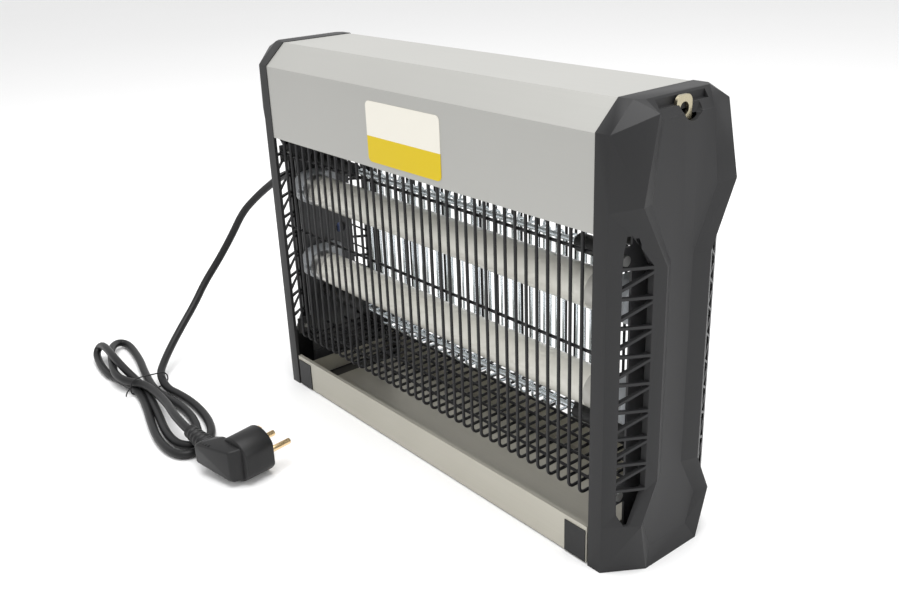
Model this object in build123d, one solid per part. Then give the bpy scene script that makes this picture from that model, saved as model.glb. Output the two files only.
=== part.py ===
from build123d import *
import math
import os

# Electric bug zapper, lying on its feet. Millimetres. X runs along the lamps, -Y is the
# front, Z is up, and the origin is on the floor under the middle of the case.

# Driving dimensions
RIM_IN = 173.6           # where the end caps meet the hood
RIM_OUT = 184.2          # outer corner of an end cap's rim
RIDGE = 202.3            # outermost ridge of an end cap
PANEL = 196.8            # sunk panel inside that ridge
HALF_DEPTH = 49.3
HEIGHT = 294.9
CHAMFER_Y = 17.6
CHAMFER_Z = 16.2
FIT = 0.3                # gap between pieces that move past each other

HOOD_Y = 48.8
HOOD_BOTTOM = 221.7
HOOD_TOP = 294.4
SHEET = 1.0

BRACKET = 181.5          # inner face of the steel brackets
BRACKET_THICK = 1.5
BRACKET_FRONT = -27.0
BRACKET_REAR = 24.0

TUBE_Y = -18.0
TUBE_HEIGHTS = {"upper": 173.6, "lower": 106.4}
TUBE_R = 13.0
GLASS_END = 157.0
TUBE_BASE = 165.75
PIN_OFFSET = 6.35
PIN_R = 1.175
PIN_LENGTH = 7.0
ROTOR_R = 8.5

GRID_Y = 5.0
GRID_PITCH = 6.15
GRID_HALF_COUNT = 20
GRID_WIRE_R = 0.9
GRID_BEND = 5.0
GRID_ROD_R = 1.75
GRID_ROD_HALF = 126.0
POST_R = 6.0
LIVE = {"rod_y": -7.0, "low": 77.0, "high": 195.0}
RETURN = {"rod_y": 17.0, "low": 58.0, "high": 198.0}

GUARD_Y = 46.2
GUARD_WIRE_R = 1.1
GUARD_PITCH = 9.313
GUARD_HALF_COUNT = 18
GUARD_TOP = 225.0
GUARD_BOTTOM = 47.5
GUARD_BEND = 4.5
GUARD_CROSS_Z = (208.9, 146.6)
GUARD_CROSS_Y = (-31.4, -15.3, 1.1, 16.5, 32.5)
WELD_GAP = 0.05          # crossing wires are separate solids this far apart

TRAY_HALF = 172.0
TRAY_Y = 48.6
TRAY_FLOOR = 1.2
TRAY_SHEET = 0.8
TRAY_LIP = 27.9

CORD_R = 3.5
CORD_EXIT_Z = 172.0
RELIEF_END = 222.0

# The cord from its strain relief down to the tied hank, and from the hank to the plug.
DROP = [
    (-222, 0, 172), (-236, 0, 172), (-254, -2.5, 164.5), (-272, -6, 153),
    (-288, -12, 140), (-303, -20, 124), (-313, -29, 101), (-318, -44, 78),
    (-317.5, -61, 60.5), (-311, -78, 43.5), (-301, -97, 31), (-288, -116, 20),
    (-275, -130, 13.5), (-261, -141.5, 9), (-240, -144.5, 4),
]
TAIL = [
    (-216, -161, 12), (-204, -162.5, 13), (-193, -164, 14), (-180, -167, 15.5),
    (-167, -169.5, 16.5), (-154, -171, 17),
    (-143, -172, 17), (-132, -172, 17),
]


def slab(x0, x1, y0, y1, z0, z1):
    """A block between two corners."""
    box = Box(x1 - x0, y1 - y0, z1 - z0)
    return Pos((x0 + x1) / 2, (y0 + y1) / 2, (z0 + z1) / 2) * box


def bar_x(radius, x0, x1, y, z):
    """A round bar along X."""
    return Pos((x0 + x1) / 2, y, z) * Rot(0, 90, 0) * Cylinder(radius, x1 - x0)


def bar_y(radius, x, y0, y1, z):
    """A round bar along Y."""
    return Pos(x, (y0 + y1) / 2, z) * Rot(90, 0, 0) * Cylinder(radius, y1 - y0)


def bar_z(radius, x, y, z0, z1):
    """A round bar along Z."""
    return Pos(x, y, (z0 + z1) / 2) * Cylinder(radius, z1 - z0)


def swept(points, radius, bends):
    """A round wire along straight runs joined by arcs."""
    path = FilletPolyline(*points, radius=bends)
    return sweep(Plane(origin=path @ 0, z_dir=path % 0) * Circle(radius), path=path)


def group(solids):
    """Several separate solids that share one node."""
    return Compound(children=list(solids))


def other_end(shape):
    """The same piece at the left end."""
    return shape.mirror(Plane.YZ)


def swap(points, side):
    """Corner points moved to the front (-1) or left at the rear (+1)."""
    return [(x, side * y, z) for x, y, z in points]


def across(points):
    """A face that spans the whole depth: its rear corners, then its front ones."""
    return points + swap(points, -1)[::-1]


def cap_block(inner_x, corner, shoulder, outline, panel):
    """A solid end-cap shape: a rim with chamfered top corners and facets out to an hourglass
    outline. corner is (x, y, bottom, chamfer z, chamfer y, top), and panel, if any, is the
    outline sunk inside the hourglass."""
    x, y, bottom, z1, y2, top = corner
    low, high, peak = (x, y, bottom), (x, y, z1), (x, y2, top)
    crease_low, crease_high = (x, y, 34), (x, y, 236)
    inner = [(inner_x, y, bottom), (inner_x, y, z1), (inner_x, y2, top)]
    p1, p3, p4, p5, p6, p8 = outline
    side_faces = [
        [inner[0], low, crease_low, crease_high, high, inner[1]],
        [inner[1], high, peak, inner[2]],
        [high, peak, p1],
        [peak, shoulder, p1],
        [high, p1, p3],
        [high, p3, crease_high],
        [crease_high, p3, p4],
        [crease_high, p4, p5, crease_low],
        [crease_low, p5, p6],
        [crease_low, p6, low],
        [low, p6, p8],
    ]
    middle_faces = [
        across([inner[0], low, p8]),
        across(inner),
        across([inner[2], peak, shoulder]),
    ]
    if panel:
        n1, n3, n4, n5, n6, n8 = panel
        side_faces += [
            [shoulder, p1, n1],
            [p1, n1, p3], [n1, n3, p3],
            [p3, n3, n4], [p3, n4, p4],
            [p4, n4, n5, p5],
            [p5, n5, n6], [p5, n6, p6],
            [p6, n6, n8], [p6, n8, p8],
        ]
        middle_faces += [across([shoulder, n1]), across(panel), across([n8, p8])]
    else:
        middle_faces += [across([shoulder, p1]), across(outline)]
    corners = middle_faces + [swap(face, side) for face in side_faces for side in (1, -1)]
    faces = [Face(Wire.make_polygon(face, close=True)) for face in corners]
    solid = Solid(Shell(faces))
    return solid if solid.volume > 0 else Solid(Shell([-face for face in faces]))


VENT_OUT = 41.6
VENT_IN = 26.1
RIB_TOP = 202.9
RIB_PITCH = 18.0
RIB_COUNT = 9
RIB = 1.8
VENT_START = 176.0       # the openings are cut from inside the rim outwards


def vent_openings():
    """Outlines, in Y and Z, of one cap's openings on one side: between level ribs, with a
    sloping rib across each bay, and a tapered opening above and below."""
    half = RIB / 2
    last = RIB_TOP - (RIB_COUNT - 1) * RIB_PITCH
    openings = [
        [(VENT_OUT, RIB_TOP + half), (41.2, 213), (39.8, 222), (37.4, 222.3), (VENT_IN, RIB_TOP + half)],
        [(VENT_OUT, last - half), (VENT_IN, last - half), (37.4, 36.5), (39.8, 35.5), (41.2, 42)],
    ]
    for bay in range(RIB_COUNT - 1):
        upper = RIB_TOP - bay * RIB_PITCH - half
        lower = upper - RIB_PITCH + RIB
        rise_out, rise_in = lower + 4.5, upper - 2.0
        openings.append([
            (VENT_OUT, lower), (VENT_OUT, rise_out - half), (VENT_IN, rise_in - half), (VENT_IN, lower),
        ])
        openings.append([
            (VENT_OUT, rise_out + half), (VENT_OUT, upper), (VENT_IN, upper), (VENT_IN, rise_in + half),
        ])
    return openings


def end_cap():
    """Right end cap: a moulded shell, open towards the lamps and below."""
    chamfer_z = HEIGHT - CHAMFER_Z
    chamfer_y = HALF_DEPTH - CHAMFER_Y
    outer = cap_block(
        RIM_IN,
        (RIM_OUT, HALF_DEPTH, 0, chamfer_z, chamfer_y, HEIGHT),
        (188.5, 27, HEIGHT),
        [(200.5, 29.3, 289), (201.5, 40.6, 241), (RIDGE, 19.5, 202), (RIDGE, 19.5, 64),
         (202, 32.7, 36), (200.5, 24.5, 0)],
        [(PANEL, 22, 284), (PANEL, 28.6, 239), (PANEL, 10, 202), (PANEL, 10, 62),
         (PANEL, 25, 33), (PANEL, 18, 12)],
    )
    inner_plate = 194.2
    wall = 2.6
    hollow = cap_block(
        RIM_IN - 1,
        (RIM_OUT - 2, HALF_DEPTH - wall, -1, chamfer_z - 1.7, chamfer_y - 1.1, HEIGHT - wall),
        (185.5, 26, HEIGHT - wall),
        [(inner_plate, 24, 281.5), (inner_plate, 40.5, 240), (inner_plate, 29.5, 203),
         (inner_plate, 29.5, 63), (inner_plate, 38, 36), (inner_plate, 31, -1)],
        None,
    )
    cap = outer - hollow
    cap -= slab(189.5, RIDGE + 1, -21, 21, 289, HEIGHT + 1)
    cap -= slab(190.8, 193.2, -7, 7, 278, 290)
    cap -= bar_x(8.5, 193.1, RIDGE + 1, 3.5, 288)
    sheet = Plane.YZ.offset(VENT_START)
    for outline in vent_openings():
        for side in (1, -1):
            face = sheet * Polygon(*[(side * y, z) for y, z in outline], align=None)
            cap -= extrude(face, amount=RIDGE - VENT_START + 1, dir=(1, 0, 0))
    return cap


def end_cap_left():
    """The left cap, which also has the hole for the mains lead."""
    return other_end(end_cap()) - bar_x(6.2, -RIDGE - 1, -190, 0, CORD_EXIT_Z)


def hood():
    """Folded sheet-steel top cover, open below."""
    corner = 18.0
    radius = {0: corner, SHEET: corner - SHEET}

    def profile(inset):
        width = 2 * (HOOD_Y - inset)
        height = HOOD_TOP - HOOD_BOTTOM - inset
        shape = Pos(0, HOOD_BOTTOM + height / 2) * Rectangle(width, height)
        top = shape.vertices().group_by(Axis.Y)[-1]
        return fillet(top, radius[inset])

    section = profile(0) - profile(SHEET)
    sheet = Plane.YZ.offset(-RIM_IN) * section
    return extrude(sheet, amount=2 * RIM_IN)


def front_label():
    """Thin plate with round corners on the front of the hood."""
    thick = 0.4
    plane = Plane(origin=(0.5, -HOOD_Y, 247.5), x_dir=(1, 0, 0), z_dir=(0, -1, 0))
    return extrude(plane * RectangleRounded(81, 43, 4), amount=thick)


def chassis_plate():
    """Steel shelf under the hood, turned up along its long edges."""
    top = GUARD_TOP + SHEET
    shelf = slab(-RIM_IN + FIT, RIM_IN - FIT, -47.7, 47.7, GUARD_TOP, top)
    shelf += slab(-BRACKET, BRACKET, -26, 23, GUARD_TOP, top)
    for side in (1, -1):
        edge = side * 47.2
        shelf += slab(-RIM_IN + FIT, RIM_IN - FIT, edge - 0.5, edge + 0.5, GUARD_TOP, 240)
    return shelf


SCREW_Y = 34.0
SCREW_Z = (205.0, 50.0)
LAMP_LEAD_Z = 252.0


def inner_bracket():
    """Right steel bracket that carries the lamp holders, the posts and the end cap."""
    outer = BRACKET + BRACKET_THICK
    plate = slab(BRACKET, outer, BRACKET_FRONT, BRACKET_REAR, 10, 284)
    for z in SCREW_Z:
        plate += slab(BRACKET, outer, -SCREW_Y - 6, SCREW_Y + 6, z - 7, z + 7)
        for side in (1, -1):
            plate -= bar_x(1.7, BRACKET - 1, outer + 1, side * SCREW_Y, z)
    for z in (LAMP_LEAD_Z, 92.0, 130.0):
        plate -= bar_x(5, BRACKET - 1, outer + 1, 12, z)
    return plate


CORES_Y = -2.0
CORES_Z = 227.7


def inner_bracket_left():
    """The left bracket, which also has the hole for the mains cores."""
    outer = BRACKET + BRACKET_THICK
    return other_end(inner_bracket()) - bar_x(5.5, -outer - 1, 1 - BRACKET, CORES_Y, CORES_Z + 1.8)


def cap_screws():
    """Pan-head screws that hold the end caps to the brackets."""
    screws = []
    outer = BRACKET + BRACKET_THICK
    for z in SCREW_Z:
        for side in (1, -1):
            screw = bar_x(3.2, outer, outer + 2.2, side * SCREW_Y, z)
            screw += bar_x(1.6, BRACKET - 3, outer, side * SCREW_Y, z)
            screws += [screw, other_end(screw)]
    return group(screws)


def hanging_tab():
    """Right steel hanging tab: an angle screwed to the bracket, with a round hole on top."""
    outer = BRACKET + BRACKET_THICK
    top = 293.8
    face = Pos(0, (256 + top) / 2) * Rectangle(13.2, top - 256)
    corners = face.vertices().group_by(Axis.Y)[-1]
    face = fillet(corners, 4.5) - Pos(0, 286.2) * Circle(3.75)
    tab = extrude(Plane.YZ.offset(191) * face, amount=2)
    tab += slab(outer, 193, -6.6, 6.6, 254, 256)
    tab += slab(outer, outer + 2, -6.6, 6.6, 236, 254)
    return tab


def tab_rivets():
    """Rivets that fix the hanging tabs to the brackets."""
    start = BRACKET + BRACKET_THICK + 2
    rivets = [bar_x(2.4, start, start + 1.4, 0, z) for z in (241.5, 248.5)]
    return group(rivets + [other_end(rivet) for rivet in rivets])


def guard_positions():
    """X of each upright wire of the guard."""
    first = GUARD_PITCH / 2
    right = [first + GUARD_PITCH * index for index in range(GUARD_HALF_COUNT)]
    return [-x for x in reversed(right)] + right


def guard_grille(side):
    """Front (-1) or rear (+1) grille: upright wires with two cross wires behind them."""
    bend_top = GUARD_BOTTOM + GUARD_BEND
    y = side * GUARD_Y
    behind = y - side * (2 * GUARD_WIRE_R + WELD_GAP)
    wires = [bar_z(GUARD_WIRE_R, x, y, bend_top, GUARD_TOP) for x in guard_positions()]
    wires += [bar_x(GUARD_WIRE_R, -RIM_IN, RIM_IN, behind, z) for z in GUARD_CROSS_Z]
    return group(wires)


def guard_bottom():
    """Bottom run of the guard, bent up at the front and rear to meet the grilles."""
    bend_top = GUARD_BOTTOM + GUARD_BEND
    path = [
        (0, -GUARD_Y, bend_top + 0.01), (0, -GUARD_Y, GUARD_BOTTOM),
        (0, GUARD_Y, GUARD_BOTTOM), (0, GUARD_Y, bend_top + 0.01),
    ]
    wire = swept(path, GUARD_WIRE_R, GUARD_BEND)
    wire = Pos(0, 0, -0.01) * wire
    wires = [Pos(x, 0, 0) * wire for x in guard_positions()]
    above = GUARD_BOTTOM + 2 * GUARD_WIRE_R + WELD_GAP
    wires += [bar_x(GUARD_WIRE_R, -RIM_IN, RIM_IN, y, above) for y in GUARD_CROSS_Y]
    return group(wires)


def grid_set(set_of, first):
    """One polarity of the high-voltage grid: every second wire, bent over to two rods."""
    toward = math.copysign(1, set_of["rod_y"] - GRID_Y)
    end_y = set_of["rod_y"] - toward * (GRID_ROD_R + WELD_GAP)
    path = [
        (0, end_y, set_of["low"]), (0, GRID_Y, set_of["low"]),
        (0, GRID_Y, set_of["high"]), (0, end_y, set_of["high"]),
    ]
    wire = swept(path, GRID_WIRE_R, GRID_BEND)
    indexes = range(-GRID_HALF_COUNT + first, GRID_HALF_COUNT + 1, 2)
    solids = [Pos(index * GRID_PITCH, 0, 0) * wire for index in indexes]
    for z in (set_of["low"], set_of["high"]):
        solids.append(bar_x(GRID_ROD_R, -GRID_ROD_HALF, GRID_ROD_HALF, set_of["rod_y"], z))
    return group(solids)


def grid_posts():
    """Insulating posts between the brackets and the ends of the grid rods."""
    posts = []
    for set_of in (LIVE, RETURN):
        for z in (set_of["low"], set_of["high"]):
            post = bar_x(POST_R, GRID_ROD_HALF - 2, BRACKET, set_of["rod_y"], z)
            post -= bar_x(GRID_ROD_R, GRID_ROD_HALF - 3, GRID_ROD_HALF, set_of["rod_y"], z)
            posts += [post, other_end(post)]
    return group(posts)


def tube_glass(z):
    """Glass of a lamp, a thin-walled tube."""
    tube = bar_x(TUBE_R, -GLASS_END, GLASS_END, TUBE_Y, z)
    return tube - bar_x(TUBE_R - 0.8, -GLASS_END - 1, GLASS_END + 1, TUBE_Y, z)


def tube_caps(z):
    """Metal cups on both ends of a lamp."""
    cup = bar_x(TUBE_R, GLASS_END, TUBE_BASE, TUBE_Y, z)
    cup -= bar_x(TUBE_R - 0.8, GLASS_END - 1, TUBE_BASE - 1.2, TUBE_Y, z)
    return group([cup, other_end(cup)])


def tube_pins(z):
    """Two contact pins on each end of a lamp, one above the other when it is locked."""
    end = TUBE_BASE + PIN_LENGTH
    pins = [bar_x(PIN_R, TUBE_BASE, end, TUBE_Y, z + rise) for rise in (PIN_OFFSET, -PIN_OFFSET)]
    return group(pins + [other_end(pin) for pin in pins])


HOLDER_FACE = TUBE_BASE + 0.35
ROTOR_BACK = 174.0


def lamp_holder(z):
    """Right lamp holder: a round-fronted block with a seat for its rotor, open to the front."""
    body = bar_x(13.6, HOLDER_FACE, BRACKET, TUBE_Y, z)
    body += slab(HOLDER_FACE, BRACKET, TUBE_Y, TUBE_Y + 22, z - 13.6, z + 13.6)
    seat = ROTOR_R + 0.08
    body -= bar_x(seat, HOLDER_FACE - 1, ROTOR_BACK + FIT, TUBE_Y, z)
    body -= slab(HOLDER_FACE - 1, ROTOR_BACK, TUBE_Y - 15, TUBE_Y, z - 1.7, z + 1.7)
    return body


def rotors(z):
    """Slotted rotors, one in each holder, that turn with the lamp's pins."""
    rotor = bar_x(ROTOR_R, HOLDER_FACE, ROTOR_BACK, TUBE_Y, z)
    slot = TUBE_BASE + PIN_LENGTH + 0.3
    rotor -= slab(HOLDER_FACE - 1, slot, TUBE_Y - 1.4, TUBE_Y + 1.4, z - 10, z + 10)
    return group([rotor, other_end(rotor)])


def tray_pan():
    """Folded aluminium insect tray with a hem along the front and rear lips."""
    top = TRAY_FLOOR + TRAY_SHEET
    inner = TRAY_Y - TRAY_SHEET
    pan = slab(-TRAY_HALF, TRAY_HALF, -TRAY_Y, TRAY_Y, TRAY_FLOOR, top)
    for side, lip in ((-1, TRAY_LIP), (1, TRAY_LIP - 1.5)):
        y0, y1 = sorted((side * inner, side * TRAY_Y))
        pan += slab(-TRAY_HALF, TRAY_HALF, y0, y1, top, lip)
        hem0, hem1 = sorted((side * inner, side * (inner - 2.2)))
        pan += slab(-TRAY_HALF, TRAY_HALF, hem0, hem1, lip - TRAY_SHEET, lip)
    for side in (-1, 1):
        x0, x1 = sorted((side * TRAY_HALF, side * (TRAY_HALF - TRAY_SHEET)))
        pan += slab(x0, x1, -inner, inner, top, 18)
    return pan


def tray_clip(side):
    """Plastic corner clips over both ends of the front (-1) or rear (+1) lip."""
    outer = side * TRAY_Y
    proud = side * (TRAY_Y + 0.55)
    inner = side * (TRAY_Y - TRAY_SHEET)
    deep = side * (TRAY_Y - TRAY_SHEET - 1.2)
    clips = []
    for end in (1, -1):
        x0, x1 = sorted((end * (TRAY_HALF - 19), end * (TRAY_HALF - 1)))
        y0, y1 = sorted((outer, proud))
        y2, y3 = sorted((deep, inner))
        clips.append(slab(x0, x1, y0, y1, 1.2, 24.5))
        clips.append(slab(x0, x1, y2, y3, 3, 22))
    return group(clips)


def tray_runner():
    """Right steel runner: an angle on the bracket that the end of the tray slides on."""
    runner = slab(163, BRACKET, -44, 44, 0, TRAY_FLOOR - 0.2)
    return runner + slab(BRACKET - 1, BRACKET, BRACKET_FRONT, BRACKET_REAR, 0, 22)


SHELF = GUARD_TOP + SHEET


def ballast():
    """Lamp ballast: a steel can with mounting feet."""
    can = slab(-10, 120, -14, 22, SHELF, SHELF + 28)
    return can + slab(-18, 128, -6, 14, SHELF, SHELF + 1.2)


def transformer():
    """High-voltage transformer: a laminated core around a coil."""
    core = slab(-82, -34, -16, 20, SHELF, SHELF + 40)
    for z0 in (SHELF + 8, SHELF + 24):
        core -= slab(-74, -42, -17, 21, z0, z0 + 8)
    return core


def transformer_coil():
    """Coil bobbin through the windows of the core."""
    outer = slab(-73.7, -42.3, -24, 28, SHELF + 8.3, SHELF + 31.7)
    return outer - slab(-75, -41, -16.3, 20.3, SHELF + 15.7, SHELF + 24.3)


def rectifier_board():
    """Circuit board that multiplies the transformer's voltage, on short pillars."""
    board = slab(-150, -100, -18, 26, SHELF + 6, SHELF + 7.6)
    for x in (-146, -104):
        for y in (-14, 22):
            board += bar_z(2.5, x, y, SHELF, SHELF + 6)
    return board


def capacitors():
    """Film capacitors standing on the board."""
    top = SHELF + 7.6
    return group([slab(x, x + 8, -12, 12, top, top + 16) for x in (-144, -131, -118)])


def terminal_block():
    """Insulated block that joins the mains cores to the internal leads."""
    block = slab(-170, -158, -20, 16, SHELF, SHELF + 14)
    for y in (-14, -2, 10):
        block -= bar_z(2, -164, y, SHELF + 5, SHELF + 15)
    return block


def starters():
    """Two lamp starters on the shelf."""
    return group([bar_z(10.5, 146, y, SHELF, SHELF + 36) for y in (-16, 12)])


def cable_clamp():
    """Saddle over the mains cores where they enter the case."""
    clamp = slab(-180, -173, -12, 8, SHELF, SHELF + 8)
    return clamp - slab(-181, -172, -8, 4, SHELF, SHELF + 3.2)


def mains_cores():
    """Three insulated cores from the strain relief, up inside the cap and through the left
    bracket, to just past the cable clamp."""
    cores = []
    for y in (CORES_Y - 3, CORES_Y, CORES_Y + 3):
        path = [
            (-190.45, y, CORD_EXIT_Z), (-186.5, y, CORD_EXIT_Z),
            (-186.5, y, CORES_Z), (-171, y, CORES_Z),
        ]
        cores.append(swept(path, 1.2, [3.5, 3.5]))
    return group(cores)


def lamp_leads():
    """Insulated leads down the outer face of each bracket to the lamp holders."""
    leads = []
    for x, low in ((185.5, 92), (188.5, 130)):
        lead = bar_z(1.1, x, 12, low, LAMP_LEAD_Z)
        leads += [lead, other_end(lead)]
    return group(leads)


def strain_relief():
    """Moulded relief: a collar inside the cap, a neck, and a taper along the cord."""
    z = CORD_EXIT_Z
    relief = bar_x(7.5, -193.8, -190.5, 0, z)
    relief += bar_x(6, -197.2, -193.8, 0, z)
    relief += bar_x(7.5, -200, -196.9, 0, z)
    taper = Pos(-(200 + RELIEF_END) / 2, 0, z) * Rot(0, -90, 0)
    relief += taper * Cone(6, 4.4, RELIEF_END - 200)
    return relief


def arc_radii(points):
    """Radius of the arc at each corner: as large as its two runs allow."""
    radii = []
    for a, b, c in zip(points, points[1:], points[2:]):
        run_in, run_out = Vector(*b) - Vector(*a), Vector(*c) - Vector(*b)
        half_turn = math.radians(run_in.get_angle(run_out)) / 2
        shorter = min(run_in.length, run_out.length)
        radii.append(0.45 * shorter / math.tan(half_turn))
    return radii


def cord(points, name):
    """A stretch of the round cord."""
    radii = arc_radii(points)
    tube = swept(points, CORD_R, radii)
    length = tube.volume / (math.pi * CORD_R ** 2)
    print(name, "radii", [round(r, 1) for r in radii], "length", round(length, 1))
    path = FilletPolyline(*points, radius=radii)
    print(name, "path length", round(path.length, 1))
    return tube


def cord_hank():
    """Outer shape of the tied hank: low loops to the right, higher loops to the left."""
    left = Polygon(
        (-258, -147), (-300, -131), (-352, -128), (-366, -134), (-363, -150),
        (-352, -166), (-325, -174), (-290, -176), (-258, -171), align=None,
    )
    right = Polygon(
        (-252, -147), (-232, -138), (-170, -137), (-140, -144), (-121, -160), (-120.5, -180),
        (-130, -192.5), (-162, -193), (-222, -178), (-252, -171), align=None,
    )
    hank = extrude(left, amount=17, dir=(0, 0, 1))
    hank += extrude(right, amount=7.3, dir=(0, 0, 1))
    hank += slab(-252, -206, -168, -150, 0, 15)
    hank += slab(-259, -251, -169, -149, 1.5, 14)
    return hank


def hank_tie():
    """Wire tie round the waist of the hank and the cord that comes down to it."""
    return slab(-256, -254, -170.2, -136.6, 0.3, 15.2) - slab(-257, -253, -169, -137.8, 1.5, 14)


PLUG_X = -72.5
PLUG_Z = 18.0
PLUG_FACE = -143.0
PIN_TURN = 8.0           # the plug lies turned a little about the vertical


def plug_frame(shape):
    """Puts a piece drawn about the plug's own face in its place on the floor."""
    return Pos(PLUG_X, PLUG_FACE, PLUG_Z) * Rot(0, 0, PIN_TURN) * shape


def plug_body():
    """Angled plug: round head, flat grip and ribbed relief for the cord."""
    head = bar_y(18, 0, -25, 0, 0)
    grip = slab(-32, 4, -38, -14, -9, 9) + slab(-10, 12, -36, -14, -14, 12)
    body = plug_frame(head + grip)
    relief = Pos(-116, -172, 17) * Rot(0, 90, 0) * Cone(5, 7.5, 32)
    return body + relief


def plug_pins():
    """Two round pins on the plug's face."""
    pins = [bar_y(2.4, x, 0, 19, 0) for x in (-9.5, 9.5)]
    return group([plug_frame(pin) for pin in pins])


def plug_earth():
    """Earth contact strips let into the top and bottom of the head."""
    strips = []
    for side in (1, -1):
        strip = slab(-2.4, 2.4, 0, 0.8, *sorted((side * 12, side * 17)))
        strips.append(plug_frame(strip))
    return group(strips)


parts = {
    "hood": hood(),
    "front_label": front_label(),
    "chassis_plate": chassis_plate(),
    "end_cap_right": end_cap(),
    "end_cap_left": end_cap_left(),
    "inner_bracket_right": inner_bracket(),
    "inner_bracket_left": inner_bracket_left(),
    "hanging_tab_right": hanging_tab(),
    "hanging_tab_left": other_end(hanging_tab()),
    "tab_rivets": tab_rivets(),
    "cap_screws": cap_screws(),
    "guard_front": guard_grille(-1),
    "guard_rear": guard_grille(1),
    "guard_bottom": guard_bottom(),
    "grid_live": grid_set(LIVE, 0),
    "grid_return": grid_set(RETURN, 1),
    "grid_posts": grid_posts(),
    "tray_pan": tray_pan(),
    "tray_clips_front": tray_clip(-1),
    "tray_clips_rear": tray_clip(1),
    "tray_runner_right": tray_runner(),
    "tray_runner_left": other_end(tray_runner()),
    "ballast": ballast(),
    "transformer_core": transformer(),
    "transformer_coil": transformer_coil(),
    "rectifier_board": rectifier_board(),
    "capacitors": capacitors(),
    "terminal_block": terminal_block(),
    "starters": starters(),
    "cable_clamp": cable_clamp(),
    "mains_cores": mains_cores(),
    "lamp_leads": lamp_leads(),
    "strain_relief": strain_relief(),
    "cord_tube": cord(DROP, "drop"),
    "cord_hank": cord_hank(),
    "cord_tail": cord(TAIL, "tail"),
    "hank_tie": hank_tie(),
    "plug_body": plug_body(),
    "plug_pins": plug_pins(),
    "plug_earth_contacts": plug_earth(),
}
for name, z in TUBE_HEIGHTS.items():
    parts[name + "_tube_glass"] = tube_glass(z)
    parts[name + "_tube_caps"] = tube_caps(z)
    parts[name + "_tube_pins"] = tube_pins(z)
    parts[name + "_rotors"] = rotors(z)
    parts[name + "_holder_right"] = lamp_holder(z)
    parts[name + "_holder_left"] = other_end(lamp_holder(z))

os.makedirs("parts", exist_ok=True)
for node, shape in parts.items():
    export_step(shape, "parts/" + node + ".step")
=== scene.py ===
import math

import bmesh
import bpy
from mathutils import Matrix, Vector


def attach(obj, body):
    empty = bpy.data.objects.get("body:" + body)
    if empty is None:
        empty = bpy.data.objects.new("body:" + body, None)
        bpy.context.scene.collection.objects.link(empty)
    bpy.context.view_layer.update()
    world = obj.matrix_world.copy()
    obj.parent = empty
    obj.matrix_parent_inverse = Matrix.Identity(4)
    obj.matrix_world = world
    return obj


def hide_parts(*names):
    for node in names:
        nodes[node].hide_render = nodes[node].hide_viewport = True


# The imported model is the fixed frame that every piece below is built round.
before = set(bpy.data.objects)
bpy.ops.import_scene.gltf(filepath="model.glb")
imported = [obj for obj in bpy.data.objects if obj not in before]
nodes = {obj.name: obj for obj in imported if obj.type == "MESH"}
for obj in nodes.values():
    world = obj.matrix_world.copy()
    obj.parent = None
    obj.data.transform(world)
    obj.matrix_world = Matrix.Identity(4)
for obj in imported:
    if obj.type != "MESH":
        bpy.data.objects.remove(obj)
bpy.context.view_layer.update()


# The studio: a camera on a stand in front and to the right, a pale floor, one broad soft
# light overhead, and a weaker one on the right.
azimuth, elevation, roll = math.radians(51.433), math.radians(22.5), math.radians(-2.405)
back = Vector((
    math.sin(azimuth) * math.cos(elevation),
    -math.cos(azimuth) * math.cos(elevation),
    math.sin(elevation),
))
level = (-back).cross(Vector((0, 0, 1))).normalized()
upright = level.cross(-back)
right = level * math.cos(roll) + upright * math.sin(roll)
up = upright * math.cos(roll) - level * math.sin(roll)
camera = bpy.data.objects.new("camera", bpy.data.cameras.new("camera"))
camera.data.lens = 39.55
camera.data.sensor_width = 36
camera.data.clip_start = 0.01
turn = Matrix((right, up, back)).transposed().to_4x4()
camera.matrix_world = Matrix.Translation((0.52569, -0.43296, 0.39966)) @ turn
bpy.context.scene.collection.objects.link(camera)
bpy.context.scene.camera = camera
bpy.context.scene.view_settings.view_transform = "Standard"


def soft_light(name, place, aim, size, power):
    lamp = bpy.data.lights.new(name, "AREA")
    lamp.shape = "DISK"
    lamp.size = size
    lamp.energy = power
    made = bpy.data.objects.new(name, lamp)
    look = (Vector(aim) - Vector(place)).to_track_quat("-Z", "Y")
    made.matrix_world = Matrix.Translation(place) @ look.to_matrix().to_4x4()
    bpy.context.scene.collection.objects.link(made)


soft_light("overhead_light", (0.1, -0.1, 1.7), (-0.05, 0, 0.1), 1.5, 26)
soft_light("side_light", (1.5, 0.2, 0.9), (0.1, 0, 0.15), 0.9, 7)

world = bpy.data.worlds.new("studio")
world.use_nodes = True
world.node_tree.nodes["Background"].inputs["Color"].default_value = (1.0, 1.0, 1.0, 1)
world.node_tree.nodes["Background"].inputs["Strength"].default_value = 0.88
bpy.context.scene.world = world


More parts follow.
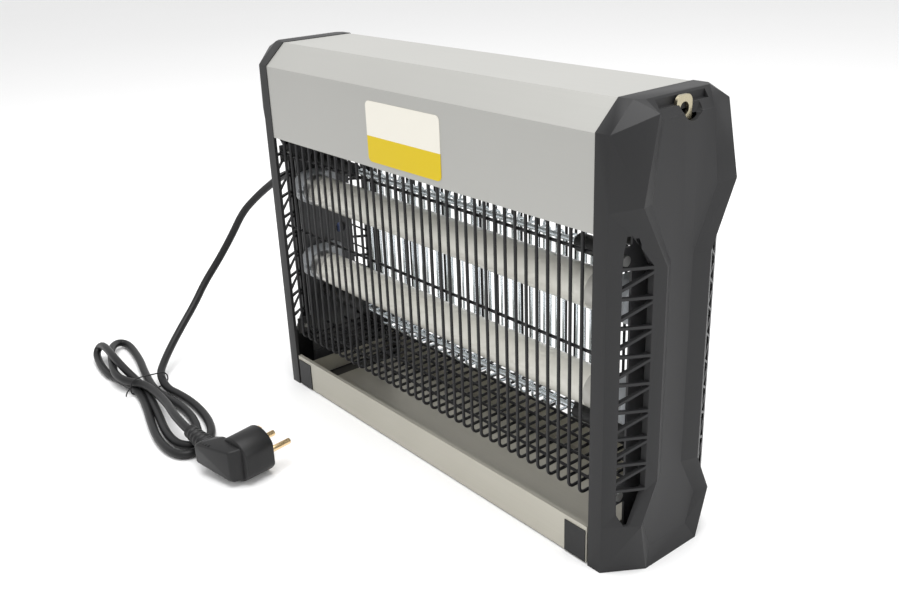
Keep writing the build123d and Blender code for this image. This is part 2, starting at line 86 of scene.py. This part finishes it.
# Materials are written as sums on the values of their node trees. This class wraps one
# such value, and its node() adds any other node and gives back one of that node's outputs.
class Value:
    def __init__(self, tree, socket):
        self.tree, self.socket = tree, socket

    def node(self, kind, settings, sockets, out=0):
        made = self.tree.nodes.new("ShaderNode" + kind)
        for name, setting in settings.items():
            setattr(made, name, setting)
        for name, value in sockets.items():
            if isinstance(value, Value):
                self.tree.links.new(value.socket, made.inputs[name])
            else:
                made.inputs[name].default_value = value
        return Value(self.tree, made.outputs[out])

    def maths(self, operation, first, second):
        return self.node("Math", {"operation": operation}, {0: first, 1: second})

    def __add__(self, other):
        return self.maths("ADD", self, other)

    __radd__ = __add__

    def __rsub__(self, other):
        return self.maths("SUBTRACT", other, self)

    def __mul__(self, other):
        return self.maths("MULTIPLY", self, other)

    __rmul__ = __mul__

    def above(self, limit):
        return self.maths("GREATER_THAN", self, limit)

    def below(self, limit):
        return self.maths("LESS_THAN", self, limit)

    def noise(self, scale, detail=3.0, stretch=(1, 1, 1)):
        spread = self.node("Mapping", {}, {"Vector": self, "Scale": stretch})
        return self.node("TexNoise", {}, {"Vector": spread, "Scale": scale, "Detail": detail})

    def blend(self, first, second):
        """The colour first where this value is 0 and second where it is 1."""
        colours = {
            key: shade if isinstance(shade, Value) else (*shade, 1)
            for key, shade in ((6, first), (7, second))
        }
        return self.node("Mix", {"data_type": "RGBA"}, {0: self, **colours}, out=2)

    def axis(self, index):
        return self.node("SeparateXYZ", {}, {0: self}, out=index)


def new_material(name):
    """A material's shader and its Object coordinates."""
    made = bpy.data.materials.new(name)
    made.use_nodes = True
    tree = made.node_tree
    place = Value(tree, tree.nodes.new("ShaderNodeTexCoord").outputs["Object"])
    return made, tree.nodes["Principled BSDF"], place


def connect(shader, **sockets):
    """Sets the shader's sockets: a plain number or colour on the socket, a value by a link."""
    for name, value in sockets.items():
        socket = shader.inputs[name.replace("_", " ")]
        if isinstance(value, Value):
            value.tree.links.new(value.socket, socket)
        else:
            socket.default_value = (*value, 1) if isinstance(value, tuple) and len(value) == 3 else value


def moulded(name, dark, light, rough, grain=900, depth=0.00006, metal=0.0, stretch=(1, 1, 1)):
    """A finish with slow changes of tone and a fine grain: plastic, paint, rubber or metal."""
    made, shader, place = new_material(name)
    tone = place.noise(24, 3, stretch)
    fine = place.noise(grain, 2, stretch)
    bump = place.node("Bump", {}, {"Height": fine, "Strength": 0.35, "Distance": depth})
    connect(
        shader,
        Base_Color=tone.blend(dark, light),
        Roughness=rough - 0.05 + 0.1 * tone + 0.06 * fine,
        Metallic=metal,
        Specular_IOR_Level=0.3,
        Normal=bump,
    )
    return made


def dress(names, material):
    """Gives CAD nodes that already have the right shape their finish."""
    for name in names:
        nodes[name].data.materials.clear()
        nodes[name].data.materials.append(material)


def add_piece(name, shape, material, body, stands_for=(), smooth=True):
    """Turns a finished bmesh into a piece that rides on a body."""
    mesh = bpy.data.meshes.new(name)
    shape.to_mesh(mesh)
    shape.free()
    mesh.materials.append(material)
    made = bpy.data.objects.new(name, mesh)
    bpy.context.scene.collection.objects.link(made)
    if smooth:
        mesh.shade_smooth()
        mesh.set_sharp_from_angle(angle=math.radians(32))
    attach(made, body)
    if stands_for:
        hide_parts(*stands_for)
    return made


# The floor is one wide pale sheet that the whole picture stands on. It isn't part of
# the object.
floor_shape = bmesh.new()
bmesh.ops.create_circle(floor_shape, cap_ends=True, segments=64, radius=14)
floor_mesh = bpy.data.meshes.new("floor")
floor_shape.to_mesh(floor_mesh)
floor_shape.free()
floor_material, floor_shader, floor_place = new_material("pale_floor")
connect(
    floor_shader,
    Base_Color=floor_place.noise(1.5).blend((0.90, 0.90, 0.90), (0.92, 0.92, 0.92)),
    Roughness=0.8,
)
floor_mesh.materials.append(floor_material)
floor = bpy.data.objects.new("floor", floor_mesh)
bpy.context.scene.collection.objects.link(floor)


# The mains cord is round black flex, 7 mm across. It drops from the left end cap to the
# floor, passes through the tie, and is folded into loops on both sides of it.
drop_route = [
    (-222, 0, 172), (-236, 0, 172), (-254, -2.5, 164.5), (-272, -6, 153),
    (-288, -12, 140), (-303, -20, 124), (-313, -29, 101), (-318, -44, 78),
    (-317.5, -61, 60.5), (-311, -78, 43.5), (-301, -97, 31), (-288, -116, 20),
    (-275, -130, 13.5), (-261, -141.5, 9), (-240, -144.5, 4),
]
outer_right_loop = [
    (-224, -141, 3.7), (-198, -139, 3.7), (-169, -142, 3.7), (-148, -148, 3.7),
    (-135, -156, 3.7), (-126, -166, 3.7), (-123, -176, 3.7), (-126, -185, 3.7),
    (-140, -189.5, 3.7), (-163, -188, 3.7), (-188, -182, 3.7), (-218, -173, 3.7),
    (-243, -167, 3.7), (-256, -166, 3.7),
]
near_left_loop = [
    (-271, -166.5, 3.8), (-292, -169, 3.8), (-304, -172, 3.9), (-322, -171, 4),
    (-339, -168, 4.5), (-351, -165, 7), (-353, -160.5, 12), (-343, -160, 16.5),
    (-325, -162, 18.5), (-305, -164, 18), (-285, -163, 13), (-269, -160, 7),
    (-256, -158.8, 4),
]
inner_right_loop = [
    (-247, -159.5, 3.8), (-235, -162.5, 3.9), (-222, -165.5, 4), (-198, -171, 3.8),
    (-173, -177.5, 3.7), (-153, -180, 3.7), (-141, -178, 3.7), (-133.5, -171.5, 3.7),
    (-139, -164, 3.7), (-153, -158, 3.7), (-170, -152.5, 3.7), (-191, -149.5, 3.7),
    (-212, -150.5, 3.7), (-229, -152.5, 3.7), (-243, -153, 3.7), (-255, -151.8, 3.7),
]
far_left_loop = [
    (-268, -149.5, 3.8), (-290, -144.5, 3.8), (-312, -138.5, 3.8), (-337, -134, 3.8),
    (-354, -132, 4), (-362, -136, 5.5), (-358, -144, 7.5), (-345, -152.5, 9.5),
    (-328, -159, 10.6), (-305, -167, 10.8), (-287, -172, 10.8), (-272, -171.5, 10.8),
    (-262, -167.5, 10.6), (-254, -163, 10.6), (-245, -160.5, 10.8), (-232, -160, 11.2),
]
tail_route = [
    (-216, -161, 12), (-204, -162.5, 13), (-193, -164, 14), (-180, -167, 15.5),
    (-167, -169.5, 16.5), (-154, -171, 17), (-143, -172, 17), (-132, -172, 17),
]
route = (
    drop_route + outer_right_loop + near_left_loop + inner_right_loop
    + far_left_loop + tail_route
)
cord_diameter = 0.007
cord_curve = bpy.data.curves.new("cord", "CURVE")
cord_curve.dimensions = "3D"
cord_curve.bevel_depth = cord_diameter / 2
cord_curve.bevel_resolution = 5
cord_curve.resolution_u = 6
spline = cord_curve.splines.new("NURBS")
spline.points.add(len(route) - 1)
for point, place in zip(spline.points, route):
    point.co = (*(length / 1000 for length in place), 1)
spline.order_u = 3
spline.use_endpoint_u = True
cord_rubber = moulded("cord_rubber", (0.007, 0.007, 0.0075), (0.012, 0.012, 0.0125), 0.42, 700)
cord_curve.materials.append(cord_rubber)
cord = bpy.data.objects.new("mains_cord", cord_curve)
bpy.context.scene.collection.objects.link(cord)
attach(cord, "case")
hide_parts("cord_tube", "cord_hank", "cord_tail")


# The strain relief is moulded rubber, snapped into the left end cap. Its tail tapers
# along the cord and is ringed with grooves so that it bends evenly.
def ringed_sleeve(start, end, thick_end, thin_end, rings, centre):
    """A sleeve along -X or +X, from start to end, with grooves between its rings."""
    shape = bmesh.new()
    length = end - start
    steps = rings * 4
    previous = None
    for step in range(steps + 1):
        share = step / steps
        radius = thick_end + (thin_end - thick_end) * share
        if step % 4 in (2, 3) and step < steps - 1:
            radius *= 0.86
        spot = Matrix.Translation((start + length * share, *centre)) @ Matrix.Rotation(math.pi / 2, 4, "Y")
        ring = bmesh.ops.create_circle(shape, cap_ends=False, segments=28, radius=radius, matrix=spot)
        edges = list({edge for vertex in ring["verts"] for edge in vertex.link_edges})
        if previous:
            bmesh.ops.bridge_loops(shape, edges=previous + edges)
        previous = edges
    bmesh.ops.holes_fill(shape, edges=shape.edges[:])
    bmesh.ops.recalc_face_normals(shape, faces=shape.faces[:])
    return shape


relief_shape = ringed_sleeve(-0.1905, -0.2225, 0.0060, 0.0042, 8, (0.0, 0.172))
relief = add_piece("cord_relief", relief_shape, cord_rubber, "case", ["strain_relief"])


# The tie is a short length of thin coated wire, bent round all the strands at the waist
# of the hank, with its ends twisted together on the near side.
tie_rubber = moulded("tie_coating", (0.010, 0.010, 0.011), (0.020, 0.020, 0.021), 0.4, 900)


def thin_wire(name, places, cyclic):
    curve = bpy.data.curves.new(name, "CURVE")
    curve.dimensions = "3D"
    curve.bevel_depth = 0.0006
    curve.bevel_resolution = 3
    line = curve.splines.new("NURBS")
    line.points.add(len(places) - 1)
    for point, place in zip(line.points, places):
        point.co = (*(length / 1000 for length in place), 1)
    line.order_u = 3
    line.use_cyclic_u = cyclic
    line.use_endpoint_u = not cyclic
    curve.materials.append(tie_rubber)
    made = bpy.data.objects.new(name, curve)
    bpy.context.scene.collection.objects.link(made)
    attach(made, "case")
    return made


tie = thin_wire("hank_wire", [
    (-255, -171, 1), (-255, -171.5, 8), (-255.5, -169, 15), (-255, -160, 15.8),
    (-254.5, -150, 14.6), (-254, -140, 14), (-254, -136.6, 9), (-254, -138, 3),
    (-254.5, -145, 0.8), (-255, -158, 0.7),
], True)
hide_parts("hank_tie")
tie_ends = thin_wire("hank_wire_ends", [
    (-255, -170.5, 9), (-256, -172.5, 8), (-254, -173.5, 7), (-256, -175, 5), (-253, -177, 3),
], False)


# The plug is one moulding in black rubber: a round head with flattened sides, a grip with
# raised ribs, and a ringed relief. It lies turned a little about the vertical.
def put_into(shape, part):
    """Adds a second bmesh to a shape and frees it."""
    holding = bpy.data.meshes.new("holding")
    part.to_mesh(holding)
    part.free()
    shape.from_mesh(holding)
    bpy.data.meshes.remove(holding)


plug_place = Matrix.Translation((-0.0725, -0.143, 0.018)) @ Matrix.Rotation(math.radians(8), 4, "Z")
head_radius, half_flat = 0.018, 0.0158
plug_shape = bmesh.new()
facing = Matrix.Rotation(math.pi / 2, 4, "X")
bmesh.ops.create_cone(
    plug_shape, cap_ends=True, segments=48, radius1=head_radius, radius2=head_radius * 0.97,
    depth=0.025, matrix=Matrix.Translation((0, -0.0125, 0)) @ facing,
)
for vertex in plug_shape.verts:
    if abs(vertex.co.x) > half_flat:
        vertex.co.x = math.copysign(half_flat, vertex.co.x)
bmesh.ops.bevel(
    plug_shape, geom=[e for e in plug_shape.edges if e.calc_face_angle(0) > 1], offset=0.0012,
    segments=3, profile=0.5, affect="EDGES", material=-1, clamp_overlap=True,
)
grip = bmesh.new()
for corner in (
    (-0.032, -0.038, -0.008), (-0.032, -0.038, 0.008), (-0.032, -0.021, -0.007), (-0.032, -0.021, 0.007),
    (0.006, -0.034, -0.013), (0.006, -0.034, 0.012), (0.011, -0.022, -0.014), (0.011, -0.022, 0.013),
    (-0.013, -0.021, -0.015), (-0.013, -0.021, 0.014),
):
    grip.verts.new(corner)
bmesh.ops.convex_hull(grip, input=grip.verts[:])
bmesh.ops.bevel(
    grip, geom=grip.edges[:], offset=0.0014, segments=3, profile=0.5, affect="EDGES",
    material=-1, clamp_overlap=True,
)
rib_size = (0.0012, 0.013, 0.0022)
for index in range(4):
    rib_place = Matrix.Translation((-0.027 + 0.0032 * index, -0.029, 0.0083 + 0.0004 * index))
    bmesh.ops.create_cube(grip, size=1, matrix=rib_place @ Matrix.Diagonal((*rib_size, 1)))
put_into(plug_shape, grip)
plug_shape.transform(plug_place)
put_into(plug_shape, ringed_sleeve(-0.133, -0.1, 0.0056, 0.0078, 6, (-0.172, 0.017)))
plug = add_piece("plug", plug_shape, cord_rubber, "case", ["plug_body"])

pin_shape = bmesh.new()
for side in (-0.0095, 0.0095):
    bmesh.ops.create_cone(
        pin_shape, cap_ends=True, segments=24, radius1=0.0024, radius2=0.0024, depth=0.019,
        matrix=Matrix.Translation((side, 0.0095, 0)) @ facing,
    )
bmesh.ops.bevel(
    pin_shape, geom=[e for e in pin_shape.edges if e.calc_face_angle(0) > 1], offset=0.0007,
    segments=3, profile=0.5, affect="EDGES", material=-1, clamp_overlap=True,
)
pin_shape.transform(plug_place)
brass = moulded("bare_brass", (0.78, 0.56, 0.30), (0.90, 0.70, 0.44), 0.2, 1200, 0.00002, 1.0, (1, 8, 1))
plug_pins = add_piece("plug_contacts", pin_shape, brass, "case", ["plug_pins"])
dress(["plug_earth_contacts", "upper_tube_pins", "lower_tube_pins"], brass)


# The end caps are charcoal mouldings with a fine spark-eroded grain. Their ridges and
# rims are softly rounded, and both waists are open in a lattice of thin ribs.
cap_plastic = moulded("cap_plastic", (0.013, 0.013, 0.014), (0.018, 0.018, 0.0185), 0.46, 1300, 0.00008)
for side in ("right", "left"):
    cap_shape = bmesh.new()
    cap_shape.from_mesh(nodes["end_cap_" + side].data)
    bmesh.ops.remove_doubles(cap_shape, verts=cap_shape.verts[:], dist=0.00002)
    bmesh.ops.dissolve_limit(
        cap_shape, angle_limit=math.radians(1.5), verts=cap_shape.verts[:], edges=cap_shape.edges[:],
    )

    def outside(vertex):
        x, y, z = abs(vertex.co.x), abs(vertex.co.y), vertex.co.z
        return x > 0.1966 or y > 0.0492 or z > 0.2948 or (z > 0.288 and x > 0.188)

    ridges = [
        e for e in cap_shape.edges
        if e.calc_length() > 0.010 and e.is_manifold and e.calc_face_angle(0) > math.radians(7)
        and all(outside(v) for v in e.verts)
        and min(abs(v.co.x) for v in e.verts) > 0.18
        and max(v.co.z for v in e.verts) > 0.002
    ]
    bmesh.ops.bevel(
        cap_shape, geom=ridges, offset=0.0018, segments=3, profile=0.5, affect="EDGES",
        material=-1, clamp_overlap=True,
    )
    add_piece("cap_" + side, cap_shape, cap_plastic, "case", ["end_cap_" + side])


# The hood is one folded steel sheet with a satin finish rolled along its length. Its long
# edges are bent along the same slopes as the end caps. The shelf under it, and the brackets
# at its ends, are plain pressed steel.
def rolled(name, dark, light, rough, metal):
    """Sheet metal with a faint grain that runs along X."""
    made, shader, place = new_material(name)
    streaks = place.noise(900, 2, (0.02, 1, 1))
    tone = place.noise(6, 2)
    bump = place.node("Bump", {}, {"Height": streaks, "Strength": 0.25, "Distance": 0.00003})
    connect(
        shader,
        Base_Color=(0.7 * tone + 0.3 * streaks).blend(dark, light),
        Roughness=rough - 0.06 + 0.12 * streaks,
        Metallic=metal,
        Normal=bump,
    )
    return made


hood_end, hood_half, hood_low, hood_high = 0.1736, 0.0488, 0.2217, 0.2944
slope_across, slope_down = 0.0176, 0.0162
sheet = 0.001
hood_line = [
    (-hood_half, hood_low), (-hood_half, hood_high - slope_down), (-hood_half + slope_across, hood_high),
    (hood_half - slope_across, hood_high), (hood_half, hood_high - slope_down), (hood_half, hood_low),
]
hood_shape = bmesh.new()
left_end, right_end = (
    [hood_shape.verts.new((x, y, z)) for y, z in hood_line] for x in (-hood_end, hood_end)
)
for index in range(len(hood_line) - 1):
    hood_shape.faces.new((
        left_end[index], left_end[index + 1], right_end[index + 1], right_end[index],
    ))
hood_shape.normal_update()
facing_up = max(hood_shape.faces, key=lambda face: face.calc_center_median().z).normal.z > 0
if not facing_up:
    bmesh.ops.reverse_faces(hood_shape, faces=hood_shape.faces[:])
bmesh.ops.solidify(hood_shape, geom=hood_shape.faces[:], thickness=sheet)
bmesh.ops.recalc_face_normals(hood_shape, faces=hood_shape.faces[:])
hood_sheet = rolled("hood_sheet", (0.36, 0.36, 0.34), (0.42, 0.415, 0.395), 0.42, 0.35)
add_piece("folded_hood", hood_shape, hood_sheet, "case", ["hood"])
zinc = rolled("zinc_plate", (0.50, 0.50, 0.49), (0.62, 0.62, 0.60), 0.35, 0.9)
dress(["chassis_plate", "tab_rivets", "cap_screws"], zinc)
dress(
    ["inner_bracket_right", "inner_bracket_left", "tray_runner_right", "tray_runner_left"],
    rolled("bracket_paint", (0.035, 0.035, 0.037), (0.05, 0.05, 0.052), 0.4, 0.1),
)
dress(
    ["hanging_tab_right", "hanging_tab_left"],
    rolled("tab_plate", (0.42, 0.37, 0.25), (0.62, 0.57, 0.42), 0.28, 1.0),
)


# The plate on the hood is thin printed plastic in two plain colours: cream above, and a
# yellow band below.
label_print, label_shader, label_place = new_material("label_print")
lower_part = label_place.axis(2).below(0.2445)
connect(
    label_shader,
    Base_Color=lower_part.blend((0.74, 0.715, 0.64), (0.62, 0.455, 0.004)),
    Specular_IOR_Level=0.2,
    Roughness=0.3 + 0.08 * label_place.noise(300),
)
dress(["front_label"], label_print)


# The guard is a cage of steel wire, dipped in black. The high-voltage grid behind it is
# bright drawn wire held on insulating posts.
dress(
    ["guard_front", "guard_rear", "guard_bottom"],
    moulded("guard_coating", (0.008, 0.008, 0.009), (0.014, 0.014, 0.015), 0.34, 500, 0.00008),
)
dress(
    ["grid_live", "grid_return"],
    moulded("bright_wire", (0.62, 0.68, 0.72), (0.80, 0.85, 0.88), 0.14, 800, 0.00002, 1.0, (1, 1, 0.05)),
)
dress(["grid_posts"], moulded("post_plastic", (0.012, 0.012, 0.012), (0.022, 0.022, 0.022), 0.4))


# The lamps are glass tubes with a white powder inside and a drawn metal cup on each end.
# They turn in pale plastic holders with slotted rotors.
lamp_glass, glass_shader, glass_place = new_material("lamp_glass")
along = glass_place.axis(0)
ends = along.node("Math", {"operation": "ABSOLUTE"}, {0: along}).above(0.150)
powder = glass_place.noise(60).blend((0.78, 0.765, 0.69), (0.84, 0.825, 0.75))
connect(
    glass_shader,
    Base_Color=ends.blend(powder, (0.50, 0.49, 0.45)),
    Roughness=0.14 + 0.06 * glass_place.noise(40),
    Coat_Weight=0.4,
)
cup_metal = rolled("lamp_cup", (0.55, 0.55, 0.53), (0.70, 0.70, 0.68), 0.3, 1.0)
holder_plastic = moulded("holder_plastic", (0.40, 0.42, 0.44), (0.48, 0.50, 0.52), 0.3, 900)
for lamp in ("upper", "lower"):
    dress([lamp + "_tube_glass"], lamp_glass)
    dress([lamp + "_tube_caps"], cup_metal)
    dress([lamp + "_rotors", lamp + "_holder_right", lamp + "_holder_left"], holder_plastic)


# The tray is folded from thin aluminium sheet, with a hem on both lips and a black strip
# across its left end. Black clips close its corners.
tray_metal, tray_shader, tray_place = new_material("tray_aluminium")
streak = tray_place.noise(900, 2, (0.02, 1, 1))
cloud = tray_place.noise(9, 3)
strip = tray_place.axis(0).below(-0.1595) * tray_place.axis(2).below(0.003)
sheet_tone = (0.6 * cloud + 0.4 * streak).blend((0.38, 0.365, 0.31), (0.50, 0.48, 0.42))
connect(
    tray_shader,
    Base_Color=strip.blend(sheet_tone, (0.012, 0.012, 0.012)),
    Roughness=0.34 + 0.12 * streak,
    Metallic=0.55 - 0.55 * strip,
    Normal=tray_place.node("Bump", {}, {"Height": streak, "Strength": 0.25, "Distance": 0.00003}),
)
dress(["tray_pan"], tray_metal)
dress(
    ["tray_clips_front", "tray_clips_rear"],
    moulded("clip_plastic", (0.009, 0.009, 0.0095), (0.014, 0.014, 0.0145), 0.42, 1100),
)


# Inside the hood are the ballast, the transformer, its rectifier board and capacitors,
# the starters, and the block and leads that join them.
dress(["ballast"], moulded("ballast_enamel", (0.60, 0.59, 0.55), (0.68, 0.67, 0.63), 0.35, 400))
dress(["transformer_core"], rolled("core_laminations", (0.07, 0.065, 0.06), (0.14, 0.13, 0.12), 0.5, 0.8))
dress(["transformer_coil"], moulded("winding_tape", (0.58, 0.42, 0.09), (0.70, 0.53, 0.15), 0.32, 500))
dress(["rectifier_board"], moulded("board_laminate", (0.05, 0.17, 0.07), (0.08, 0.23, 0.10), 0.35, 600))
dress(["capacitors"], moulded("dipped_film", (0.30, 0.07, 0.045), (0.40, 0.10, 0.06), 0.25, 200))
dress(["terminal_block", "cable_clamp"], moulded("nylon", (0.68, 0.67, 0.62), (0.76, 0.75, 0.70), 0.4, 700))
dress(["starters"], moulded("starter_can", (0.62, 0.62, 0.60), (0.70, 0.70, 0.68), 0.25, 700, 0.00003, 0.9))
dress(
    ["mains_cores", "lamp_leads"],
    moulded("lead_insulation", (0.10, 0.14, 0.32), (0.16, 0.20, 0.40), 0.35, 800),
)
